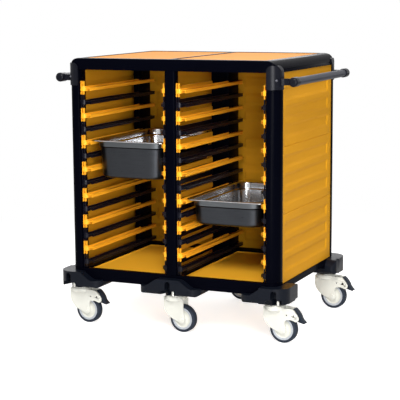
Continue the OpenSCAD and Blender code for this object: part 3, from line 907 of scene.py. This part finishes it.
@dataclass
class Racks:
    """The stacked runners: a rail with a grooved ledge and a low guide, and a comb-like block at its front.

    Attributes:
        shop: the workshop that makes the pieces.
        edge: rounding of the mouldings' edges, in metres.
        block_w: from the guide's face to the post.
        ledge_w: how far the ledge reaches into the bay.
        ledge_h: height of the ledge's outer face.
        ledge_back: from the block's front to the ledge's.
        ledge_slant: how far the ledge's front falls back for each metre towards the bay.
        guide_h: height of the guide over the ledge.
        guide_t: thickness of the guide.
        guide_back: from the block's front to the guide's.
        guide_slant: how far the guide's front falls back, as the ledge's does.
        root: how far the ledge is rooted in the guide.
        sheet: thickness of the ledge's top.
        web: thickness of the ledge's wall beside the guide.
        lip: thickness of the ledge's outer wall, and height of the rims of its groove.
        groove: depth of the groove in the ledge's outer face.
        groove_slope: height of the groove's sloping sides.
        ear: half height of a moulding with its ears.
        bar: width of an ear.
        ear_front: from the block's front to the ears'.
        ear_rear: from the ears' rear to the block's.
        block_d: depth of the front block.
        pitch: from one moulding to the next of the same colour.
        count: mouldings of one colour in a rack.
        upright: from the rail's rear end to the upright's front face.
    """

    shop: Workshop
    edge: float = 0.7 * MM
    block_w: float = 17.0 * MM
    ledge_w: float = 15.0 * MM
    ledge_h: float = 13.0 * MM
    ledge_back: float = 3.0 * MM
    ledge_slant: float = 1.3
    guide_h: float = 6.0 * MM
    guide_t: float = 5.0 * MM
    guide_back: float = 1.0 * MM
    guide_slant: float = 0.6
    root: float = 1.0 * MM
    sheet: float = 2.6 * MM
    web: float = 2.5 * MM
    lip: float = 3.0 * MM
    groove: float = 1.5 * MM
    groove_slope: float = 1.2 * MM
    ear: float = 26.2 * MM
    bar: float = 2.8 * MM
    ear_front: float = 0.6 * MM
    ear_rear: float = 1.0 * MM
    block_d: float = 14.0 * MM
    pitch: float = 105.6 * MM
    count: int = 7
    upright: float = 92.0 * MM

    def build(self) -> None:
        """Makes the runners of the three racks, yellow and black by turns."""
        for place in PLACES:
            for tone, finish in (("yellow", RUNNER_YELLOW), ("black", RUNNER_BLACK)):
                self.rack(f"runners_{place}_{tone}", place, finish)

    def rack(self, node: str, place: str, finish: Finish) -> None:
        """Makes the mouldings of one colour on one or, in the middle, both faces of a rack.

        Args:
            node: the CAD node that they stand for.
            place: left, middle or right.
            finish: what they are made of.
        """
        low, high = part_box(node)
        faces = {"left": [(low.x + self.block_w, 1.0)], "right": [(high.x - self.block_w, -1.0)],
                 "middle": [(low.x + self.ledge_w, -1.0), (high.x - self.ledge_w, 1.0)]}[place]
        mesh = bmesh.new()
        for face, way in faces:
            for k in range(self.count):
                self.moulding(Bar(mesh, face, way, low.z + self.ear + k * self.pitch), low.y, high.y)
        bmesh.ops.recalc_face_normals(mesh, faces=mesh.faces)
        piece = self.shop.from_bmesh("moulded_" + node, mesh, EDGE_ANGLE)
        self.shop.round_edges(piece, self.edge, 2, EDGE_ANGLE)
        self.shop.hand_over(piece, finish, [node])

    def moulding(self, bar: Bar, front: float, rear: float) -> None:
        """Adds one moulding.

        Args:
            bar: adds bars where the moulding goes.
            front: the front end along Y.
            rear: the rear end along Y.
        """
        w, h, lip, slope = self.ledge_w, self.ledge_h, self.lip, self.lip + self.groove_slope
        bar.add([(-self.root, 0.0), (-self.root, -h), (self.web, -h), (self.web, -self.sheet),
                 (w - lip, -self.sheet), (w - lip, -h), (w, -h), (w, lip - h), (w - self.groove, slope - h),
                 (w - self.groove, -slope), (w, -lip), (w, 0.0)],
                front + self.ledge_back, rear, self.ledge_slant)
        bar.add([(0.0, -h), (0.0, self.guide_h), (-self.guide_t, self.guide_h), (-self.guide_t, -h)],
                front + self.guide_back, rear - self.upright, self.guide_slant)
        bar.add([(-self.block_w, -h), (-self.guide_t, -h), (-self.guide_t, self.guide_h),
                 (-self.block_w, self.guide_h)], front, front + self.block_d)
        for near in (-self.block_w, -self.guide_t - self.bar):
            far = near + self.bar
            bar.add([(near, -self.ear), (far, -self.ear), (far, self.ear), (near, self.ear)],
                    front + self.ear_front, front + self.block_d - self.ear_rear)


@dataclass
class Bumpers:
    """Corner and middle bumpers, rounded as the soft mouldings are.

    Attributes:
        shop: the workshop that makes the pieces.
        edge: rounding of their edges, in metres.
        sharp: bend in degrees above which an edge is rounded.
    """

    shop: Workshop
    edge: float = 4.0 * MM
    sharp: float = 24.0

    def build(self) -> None:
        """Makes the six bumpers."""
        for station in STATIONS:
            self.shop.eased(f"bumper_{station}", BUMPER_SLATE, self.edge, 4, self.sharp)


@dataclass
class Handles:
    """Push handles: tubes, brackets and screws.

    Attributes:
        shop: the workshop that makes the pieces.
        edge: rounding of the brackets' edges, in metres.
        screw_edge: rounding of the screws' edges.
    """

    shop: Workshop
    edge: float = 2.0 * MM
    screw_edge: float = 0.15 * MM

    def build(self) -> None:
        """Makes the handles of both sides."""
        for side in Side:
            self.shop.dress(f"handle_tube_{side.value}", TUBE_GREY)
            for row in ROWS:
                self.shop.eased(f"handle_bracket_{row}_{side.value}", BRACKET_BLACK, self.edge, segments=3)
        self.shop.eased("handle_screws", SCREW_STEEL, self.screw_edge)


# ---------------------------------------------------------------- castors
@dataclass
class Castors:
    """Six castors with forks, wheels and, at the corners, brake pedals.

    The outlines' corners are in millimetres.

    Attributes:
        shop: the workshop that makes the pieces.
        edge: rounding of the forks' edges, in metres.
        stem_edge: rounding of the stems' edges.
        sharp: angle in degrees above which a wheel's or a pedal's edge stays sharp.
        tyre_w: the tyres' width.
        tyre_h: from the tread down to the hub.
        bead: the tyre's wall by the hub: distance out from the hub and in from the tyre's side.
        side_in: how far the tyre's wall stands in outside the bead.
        shoulder: radius between the tyre's wall and its tread.
        shoulder_in: from the tyre's side to that radius's middle.
        crown: how much higher the tread's middle is than its edge.
        tread_in: from the tyre's side to the tread's full height.
        boss_over: how far the hub's boss stands out past the tyre.
        disc_in: how far the hub's disc and rim stand in from the tyre's side.
        boss: the boss: radius and distance in from its end.
        web: the dished web: radius and distance in from the disc.
        band: the grey ring's face: radius and height over the hub's disc.
        band_edge: the grey ring by the tyre: distance out from the hub's rim and height over the disc.
        wheel_faces: faces round a tyre and round a grey ring.
        hub_faces: faces round a hub.
        pedal_w: width of a pedal.
        pedal_ends: how a pedal is eased at its sides: share of its half width, and how far it draws in.
        pedal_side: a pedal's side view, ahead of the axle and above it.
        pin_at: where its pin goes, in the same view.
        pin_r: the pin's radius.
        pin_l: the pin's length.
        pin_edge: chamfer of the pin's ends.
        pin_faces: faces round the pin.
    """

    shop: Workshop
    edge: float = 1.4 * MM
    stem_edge: float = 0.5 * MM
    sharp: float = 40.0
    tyre_w: float = 30.0 * MM
    tyre_h: float = 10.5 * MM
    bead: Corners = ((0.0, 1.4), (0.8, 0.4), (2.0, 0.0), (4.4, 0.0), (5.0, 0.7))
    side_in: float = 0.9 * MM
    shoulder: float = 4.2 * MM
    shoulder_in: float = 5.0 * MM
    crown: float = 0.2 * MM
    tread_in: float = 9.0 * MM
    boss_over: float = 1.4 * MM
    disc_in: float = 3.0 * MM
    boss: Corners = ((5.1, 0.0), (10.6, 0.0), (12.0, 0.5), (12.8, 2.0))
    web: Corners = ((13.4, 3.4), (15.0, 4.4), (27.0, 5.4), (30.0, 4.6), (32.0, 1.2), (33.2, 0.3), (34.6, 0.0))
    band: Corners = ((35.0, -0.4), (35.3, 0.7), (36.0, 1.0), (39.2, 1.0), (39.6, 0.6), (40.0, 1.0))
    band_edge: Corners = ((-0.7, 1.3), (-0.1, 0.9), (-0.1, -0.4))
    wheel_faces: int = 96
    hub_faces: int = 72
    pedal_w: float = 27.0 * MM
    pedal_ends: Corners = ((-1.0, 1.3), (-0.95, 0.4), (-0.88, 0.0), (0.88, 0.0), (0.95, 0.4), (1.0, 1.3))
    pedal_side: Corners = (
        (43.5, 80.0), (44.5, 82.8), (47.5, 83.5), (52.0, 80.0), (60.5, 71.5), (68.0, 60.5), (73.5, 49.0),
        (80.0, 39.5), (89.0, 31.5), (89.2, 29.0), (86.8, 27.7), (83.0, 27.8), (73.0, 30.5), (62.5, 33.0),
        (54.0, 32.5), (51.0, 29.7), (39.6, 43.7), (43.0, 46.5), (50.0, 54.0), (57.0, 60.5), (58.0, 63.5),
        (55.5, 68.5))
    pin_at: tuple[float, float] = (57.0, 46.5)
    pin_r: float = 3.9 * MM
    pin_l: float = 44.4 * MM
    pin_edge: float = 0.8 * MM
    pin_faces: int = 32

    def build(self) -> None:
        """Makes every castor."""
        for name in STATIONS:
            self.shop.eased(f"fork_{name}", CASTOR_IVORY, self.edge, segments=3)
            self.turn_wheel(name)
            if f"pedal_{name}" in frame["nodes"]:
                self.shape_pedal(name)
        self.shop.eased("castor_stems", PLATED_STEEL, self.stem_edge)

    def turn_wheel(self, name: str) -> None:
        """Turns a castor's hub, its two grey rings and its tyre about the axle.

        Args:
            name: which castor.
        """
        spin = joint(f"spin_{name}")
        axle = Vector(spin["axis"]).normalized()
        place = Matrix.Translation(spin["pos_m"]) @ axle.to_track_quat("Z", "Y").to_matrix().to_4x4()
        low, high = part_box(f"tyre_{name}")
        radius = (high.z - low.z) / 2
        for part, section, faces, finish in (("tyre", self.tyre_section(radius), self.wheel_faces, TYRE_GREY),
                                             ("hub", self.hub_section(radius), self.hub_faces, CASTOR_IVORY)):
            piece = self.shop.lathe(f"turned_{part}_{name}", section, faces, place, self.sharp)
            self.shop.hand_over(piece, finish, [f"{part}_{name}"])
        for tag, way in (("outer", 1.0), ("inner", -1.0)):
            section = [(r, way * h) for r, h in self.ring_section(radius)]
            ring = self.shop.lathe(f"rim_ring_{tag}_{name}", section, self.wheel_faces, place, self.sharp)
            self.shop.hand_over(ring, RIM_GREY, [], f"wheel_{name}")

    def tyre_section(self, radius: float) -> Outline:
        """Closed section of the tyre, with a crowned tread and a step in its wall.

        Args:
            radius: the wheel's radius.

        Returns:
            Radius and height of each corner, in metres.
        """
        half, inner = self.tyre_w / 2, radius - self.tyre_h
        wall = [(inner + out * MM, half - down * MM) for out, down in self.bead]
        wall.append((radius - self.shoulder_in, half - self.side_in))
        for turn in arc(15, 90, 6):
            wall.append((radius - self.crown - self.shoulder * (1 - math.sin(turn)),
                         half - self.shoulder_in + self.shoulder * math.cos(turn)))
        wall.append((radius, half - self.tread_in))
        return mirrored(wall)

    def hub_section(self, radius: float) -> Outline:
        """Closed section of the hub: a boss, a dished web and a rim.

        Args:
            radius: the wheel's radius.

        Returns:
            Radius and height of each corner, in metres.
        """
        end, disc = self.tyre_w / 2 + self.boss_over, self.tyre_w / 2 - self.disc_in
        upper = [(r * MM, end - down * MM) for r, down in self.boss]
        upper += [(r * MM, disc - down * MM) for r, down in self.web]
        return mirrored(upper + [(radius - self.tyre_h, disc)])

    def ring_section(self, radius: float) -> Outline:
        """Closed section of the grey ring between the hub's disc and the tyre.

        Args:
            radius: the wheel's radius.

        Returns:
            Radius and height of each corner, in metres.
        """
        disc, rim = self.tyre_w / 2 - self.disc_in, radius - self.tyre_h
        face = [(r * MM, disc + up * MM) for r, up in self.band]
        return face + [(rim + out * MM, disc + up * MM) for out, up in self.band_edge]

    def shape_pedal(self, name: str) -> None:
        """Makes a pedal: a thin foot plate that thickens into a wedge and a brake shoe, and its pin.

        Args:
            name: which castor.
        """
        axle = Vector(joint(f"spin_{name}")["pos_m"])
        ahead = axle - Vector(joint(f"swivel_{name}")["pos_m"])
        ahead.z = 0.0
        ahead.normalize()
        across = Vector((-ahead.y, ahead.x, 0.0))
        upward = Vector((0.0, 0.0, 1.0))
        side_view = [Vector(corner) * MM for corner in self.pedal_side]
        rings = []
        for share, draw in self.pedal_ends:
            ring = []
            sideways = across * (self.pedal_w / 2 * share)
            for i, spot in enumerate(side_view):
                along = side_view[(i + 1) % len(side_view)] - side_view[i - 1]
                drawn = spot - along.normalized().orthogonal() * draw * MM
                ring.append(tuple(axle + ahead * drawn.x + upward * drawn.y + sideways))
            rings.append(ring)
        plate = self.shop.skinned(f"foot_pedal_{name}", rings, self.sharp)
        self.shop.hand_over(plate, PEDAL_GREY, [f"pedal_{name}"])
        pin_x, pin_z = (side * MM for side in self.pin_at)
        place = (Matrix.Translation(axle + ahead * pin_x + upward * pin_z)
                 @ across.to_track_quat("Z", "Y").to_matrix().to_4x4())
        end, r, edge = self.pin_l / 2, self.pin_r, self.pin_edge
        section = mirrored([(0.0, end), (r - edge, end), (r, end - edge)])
        pin = self.shop.lathe(f"pedal_pin_{name}", section, self.pin_faces, place, self.sharp)
        self.shop.hand_over(pin, PLATED_STEEL, [], f"pedal_{name}")


# ---------------------------------------------------------------- pans
@dataclass
class FoodPan:
    """A drawn steel food pan with a rolled rim and a stacking step.

    The outlines' corners are in millimetres.

    Attributes:
        shop: the workshop that makes the piece.
        side: the bay that it lies in.
        wall: sheet thickness, in metres.
        brim: width of the flat rim.
        drop: height of the rim's rolled edge.
        rim_inside: inset up to which a ring lies on the rim.
        rim_top: the rim's inner bend: inset past the brim and depth.
        roll_start: inset at which the flat rim turns into its roll.
        tuck: the sheet's edge under the rim: inset and depth.
        throat: the bend under the rim: inset past the brim and depth.
        throat_share: thickness in that bend, as a share of the sheet's.
        step: from the rim down to the stacking step.
        step_bend: the stacking step: inset past the brim and depth below the step.
        fillet: radius between the walls and the bottom.
        rim_corner: radius of the rim's corners.
        corner: radius of the walls' upright corners.
        least_corner: smallest radius of a corner.
        rim_shrink: how much a rim corner's radius falls for each metre of inset.
        shrink: how much a wall corner's radius falls for each metre of inset.
        taper: how far the walls lean in for each metre of depth.
        band_rows: rows of faces of the band under the rim, made bright by a painted reflection.
        crease_rows: rows of faces under the band, darkened as a painted shadow in the crease.
        per_corner: faces round a corner.
        sharp: angle in degrees above which an edge stays sharp.
    """

    shop: Workshop
    side: Side
    wall: float = 1.0 * MM
    brim: float = 12.5 * MM
    drop: float = 4.0 * MM
    rim_inside: float = 10.5 * MM
    rim_top: Corners = ((-1.2, 0.25), (-3.0, 0.0))
    roll_start: float = 2.5 * MM
    tuck: Corners = ((3.2, 3.4), (3.6, 1.6))
    throat: Corners = ((-1.4, 1.0), (-0.2, 1.6), (0.3, 5.0))
    throat_share: float = 0.6
    step: float = 28.0 * MM
    step_bend: Corners = ((1.0, -3.0), (1.4, -0.8), (5.0, 1.4), (5.3, 3.5))
    fillet: float = 14.0 * MM
    rim_corner: float = 26.0 * MM
    corner: float = 60.0 * MM
    least_corner: float = 4.0 * MM
    rim_shrink: float = 0.2
    shrink: float = 0.28
    taper: float = 0.085
    band_rows: int = 4
    crease_rows: int = 2
    per_corner: int = 10
    sharp: float = 60.0

    def build(self) -> None:
        """Makes the pan where its solid lies, in one steel whose zones are painted with light and shade: a dark
        body, a lighter band, a dark crease line and a bright inside.
        """
        node = f"pan_{self.side.value}"
        low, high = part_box(node)
        middle = (low + high) / 2
        half = (high - low) / 2
        outside = self.outside(high.z - low.z)
        inside = [(inset + self.wall, down - self.wall) if down > 2 * self.wall else
                  (inset + self.wall * self.throat_share, down) for inset, down in outside]
        rim = self.rolled_rim()
        rings = [self.ring(half.x - inset, half.y - inset, self.corner_radius(inset), middle, high.z - down)
                 for inset, down in [*reversed(inside), *rim, *outside]]
        piece = self.shop.skinned("drawn_" + node, rings, self.sharp)
        # The outside takes the darkened steel, a painted dark reflection.
        self.shop.hand_over(piece, PAN_BODY_PAINTED_SHADE, [node])
        # The band, the crease and the inside take copies of the steel with painted light and shade.
        self.shop.line_with(piece, PAN_BAND_PAINTED_SHEEN, PAN_CREASE_PAINTED_SHADE, PAN_INSIDE_PAINTED_LIGHT)
        # Each row gets its painted light or shade: bright inside and rim, lighter band, dark crease, darkened
        # body.
        zones = [PanZone.INSIDE] * (len(inside) + len(rim) - 1)
        zones += [PanZone.BAND] * self.band_rows + [PanZone.CREASE] * self.crease_rows
        zones += [PanZone.BODY] * (len(rings) - 1 - len(zones)) + [PanZone.INSIDE, PanZone.BODY]
        count = len(rings[0])
        around = count * (len(rings) - 1)
        for face in piece.data.polygons:
            row = face.index // count if face.index < around else len(rings) - 1 + face.index - around
            face.material_index = zones[row].value

    def corner_radius(self, inset: float) -> float:
        """Radius of a ring's corners, which falls as the ring draws in.

        Args:
            inset: the ring's inset from the rim's edge.

        Returns:
            The radius, in metres.
        """
        if inset < self.rim_inside:
            return max(self.least_corner, self.rim_corner - inset * self.rim_shrink)
        return max(self.least_corner, self.corner - inset * self.shrink)

    def outside(self, depth: float) -> Outline:
        """Rings down the outside of the pan.

        Args:
            depth: the pan's depth.

        Returns:
            Each ring's inset from the rim's edge and depth below the rim.
        """
        reach = self.brim + (depth - self.fillet) * self.taper
        wall = [(self.brim + inset * MM, down * MM) for inset, down in self.throat]
        wall += [(self.brim + inset * MM, self.step + down * MM) for inset, down in self.step_bend]
        for turn in arc(0, 90, 7):
            wall.append((reach + self.fillet * (1 - math.cos(turn)),
                         depth - self.fillet * (1 - math.sin(turn))))
        return wall

    def rolled_rim(self) -> Outline:
        """Rings over the rim's top and round its rolled edge.

        Returns:
            Each ring's inset from the rim's edge and depth below the rim.
        """
        roll = self.drop / 2
        over = [(self.brim + inset * MM, down * MM) for inset, down in self.rim_top]
        over.append((self.roll_start, 0.0))
        over += [(roll * (1 - math.sin(turn)), roll * (1 - math.cos(turn))) for turn in arc(0, 180, 8)]
        return over + [(inset * MM, down * MM) for inset, down in self.tuck]

    def ring(self, half_x: float, half_y: float, radius: float, middle: Vector, height: float) -> list[Point]:
        """One level of the pan: a rectangle with round corners.

        Args:
            half_x: half its width.
            half_y: half its length.
            radius: radius of its corners.
            middle: the pan's middle.
            height: height above the floor.

        Returns:
            The ring's points, in order.
        """
        points = []
        for quarter, (sx, sy) in enumerate(((1, 1), (-1, 1), (-1, -1), (1, -1))):
            for i in range(self.per_corner + 1):
                turn = math.pi / 2 * (quarter + i / self.per_corner)
                points.append((middle.x + sx * (half_x - radius) + radius * math.cos(turn),
                               middle.y + sy * (half_y - radius) + radius * math.sin(turn), height))
        return points


# ---------------------------------------------------------------- studio
@dataclass(frozen=True)
class Lamp:
    """A soft square light that faces the cart.

    Attributes:
        name: its name.
        place: where it hangs, in metres.
        size: its width, in metres.
        power: its power, in watts.
        colour: its colour.
    """

    name: str
    place: Point
    size: float
    power: float
    colour: Colour = (1.0, 1.0, 1.0)


@dataclass
class Studio:
    """Pale floor, soft light, white surroundings and the camera.

    Attributes:
        eye: the camera's place, in metres.
        turn: its heading to the left of +Y, in degrees.
        dip: how far it looks down, in degrees.
        roll: its roll, in degrees.
        lens: focal length in millimetres.
        sensor: the sensor's width in millimetres.
        reach: how far the camera sees, in metres.
        aim: where the lamps point.
        lamps: the lamps.
        plain: strength of the light from all round.
        mirrored: how bright the surroundings look in reflections.
        floor_half: half the floor's width, in metres.
        floor_tone: the floor's paint.
        floor_glow: how much it is lifted towards white where the camera sees it.
        melt_at: distance from the cart at which it is half white.
        melt_over: width of that change.
    """

    eye: Point = (2.0984, -4.8224, 1.2982)
    turn: float = 23.93
    dip: float = 8.915
    roll: float = -0.372
    lens: float = 118.14
    sensor: float = 36.0
    reach: float = 60.0
    aim: Point = (0.0, 0.0, 0.55)
    lamps: tuple[Lamp, ...] = (
        Lamp("key_light", (1.0, -3.2, 3.2), 1.4, 134.0, (1.0, 0.99, 0.97)),
        Lamp("front_light", (2.6, -3.8, 1.1), 1.6, 125.0),
        Lamp("low_light", (1.4, -3.0, 0.32), 0.6, 12.0),
        Lamp("side_light", (1.3, -0.3, 3.6), 0.9, 38.0),
        Lamp("back_light", (-1.6, 3.4, 2.8), 2.4, 60.0),
        Lamp("left_light", (-3.6, -1.0, 2.2), 2.0, 40.0))
    plain: float = 0.2
    mirrored: float = 0.85
    floor_half: float = 14.0
    floor_tone: Paint = (0.8, 0.8, 0.8, 1.0)
    floor_glow: float = 0.74
    melt_at: float = 1.9
    melt_over: float = 1.4

    def build(self) -> None:
        """Sets up everything that isn't the cart."""
        self.set_camera()
        self.set_world()
        self.lay_floor()
        for lamp in self.lamps:
            self.hang(lamp)

    def set_camera(self) -> None:
        """Puts the camera where the cart is seen as in its picture."""
        data = bpy.data.cameras.new("viewpoint")
        data.lens = self.lens
        data.sensor_width = self.sensor
        data.clip_end = self.reach
        camera = put_in_scene("viewpoint", data)
        heading = Matrix.Rotation(math.radians(self.turn), 4, "Z")
        pitch = Matrix.Rotation(math.radians(90 - self.dip), 4, "X")
        tilt = Matrix.Rotation(math.radians(self.roll), 4, "Z")
        camera.matrix_world = Matrix.Translation(self.eye) @ heading @ pitch @ tilt
        bpy.context.scene.camera = camera

    def set_world(self) -> None:
        """Lights evenly from all round, and shows white behind the cart and in its reflections."""
        world = bpy.data.worlds.new("white_room")
        tree = NodeTree(world)
        rays = tree.add("ShaderNodeLightPath", {}, {})
        plain, gloss, white = (tree.white("ShaderNodeBackground", strength)
                               for strength in (self.plain, self.mirrored, 1.0))
        lit = tree.either(rays.out("Is Glossy Ray"), plain, gloss)
        seen = rays.out("Is Camera Ray") | rays.out("Is Transmission Ray")
        tree.close("ShaderNodeOutputWorld", tree.either(seen, lit, white))
        bpy.context.scene.world = world

    def lay_floor(self) -> None:
        """Lays a wide pale floor whose far part melts into the white behind it."""
        mesh = bmesh.new()
        bmesh.ops.create_grid(mesh, x_segments=1, y_segments=1, size=self.floor_half)
        data = bpy.data.meshes.new("studio_floor")
        mesh.to_mesh(data)
        mesh.free()
        floor = put_in_scene("studio_floor", data)
        made = bpy.data.materials.new("floor_white")
        tree = NodeTree(made)
        rays = tree.add("ShaderNodeLightPath", {}, {})
        paint = tree.add("ShaderNodeBsdfDiffuse", {}, {"Color": self.floor_tone})
        glow, white = (tree.white("ShaderNodeEmission", strength) for strength in (self.floor_glow, 1.0))
        near = tree.add("ShaderNodeAddShader", {}, {0: paint.out(0), 1: glow.out(0)})
        away = tree.add("ShaderNodeVectorMath", {"operation": "LENGTH"}, {0: tree.place()}).out("Value")
        shown = tree.either(away.above(self.melt_at, self.melt_over), near, white)
        tree.close("ShaderNodeOutputMaterial", tree.either(rays.out("Is Camera Ray"), paint, shown))
        data.materials.append(made)

    def hang(self, lamp: Lamp) -> None:
        """Hangs one lamp and points it at the cart.

        Args:
            lamp: the lamp.
        """
        data = bpy.data.lights.new(lamp.name, "AREA")
        data.shape = "SQUARE"
        data.size = lamp.size
        data.energy = lamp.power
        data.color = lamp.colour
        light = put_in_scene(lamp.name, data)
        light.rotation_euler = (Vector(self.aim) - Vector(lamp.place)).to_track_quat("-Z", "Y").to_euler()
        light.location = lamp.place


def main() -> None:
    """Builds the cart's looks, piece by piece, and the studio round it."""
    logging.basicConfig(level=logging.INFO, format="%(name)s %(message)s")
    shop = Workshop()
    Carcass(shop).build()
    Racks(shop).build()
    Bumpers(shop).build()
    Handles(shop).build()
    Castors(shop).build()
    for side in Side:
        FoodPan(shop, side).build()
    Studio().build()
    bpy.context.scene.view_settings.view_transform = "Standard"
    LOG.info("%d pieces made", len(shop.made))


if __name__ == "__main__":
    main()
